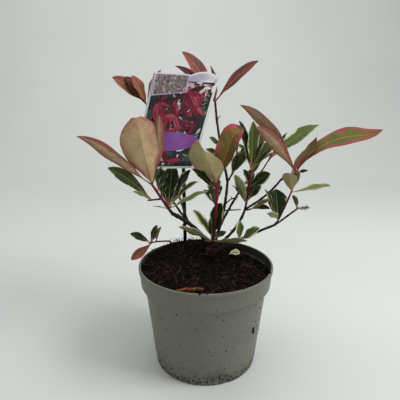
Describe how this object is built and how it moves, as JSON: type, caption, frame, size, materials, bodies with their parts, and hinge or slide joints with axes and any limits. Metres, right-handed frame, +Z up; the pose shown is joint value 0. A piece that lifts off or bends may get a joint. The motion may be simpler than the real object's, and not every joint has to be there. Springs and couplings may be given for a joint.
{
  "type": "potted photinia shrub",
  "caption": "Young variegated shrub of several leafy stems in a round tapered pot filled with compost, with a card label on a slim stick behind the stems.",
  "frame": {"origin": "middle of the pot's flat underside, on the floor", "axes": "+Z up, -Y towards the side that the picture shows, +X to the right in the picture"},
  "size_m": [0.3457, 0.204, 0.3832],
  "materials": {
    "pot": "matt grey-green recycled plastic, speckled with dirt",
    "compost": "damp dark peat and bark",
    "stick": "black plastic",
    "label": "printed plastic card",
    "bark": "brown bark, red on young wood",
    "new_leaves": "young olive leaves with pink edges",
    "old_leaves": "dark green leaves with cream edges"
  },
  "bodies": {
    "root": {"pot": "pot", "compost": "compost", "label_stick": "stick", "plant_label": "label", "trunk": "bark", "left_bough": "bark", "upper_left_bough": "bark", "centre_bough": "bark", "right_bough": "bark", "right_branch": "bark", "low_right_bough": "bark", "dead_twig_upper": "bark", "dead_twig_lower": "bark", "low_left_stem": "bark", "back_left_bough": "bark", "back_right_bough": "bark", "back_low_bough": "bark", "front_shoot": "new_leaves", "left_shoot": "new_leaves", "top_shoot": "new_leaves", "upper_left_shoot": "new_leaves", "right_shoot": "new_leaves", "low_left_shoot": "new_leaves", "centre_shoot": "old_leaves", "middle_right_shoot": "old_leaves", "fork_sprig": "old_leaves", "right_side_shoot": "old_leaves", "low_right_shoot": "old_leaves", "inner_right_sprig": "old_leaves", "back_left_shoot": "old_leaves", "back_right_shoot": "old_leaves", "back_low_shoot": "old_leaves"}
  },
  "joints": []
}
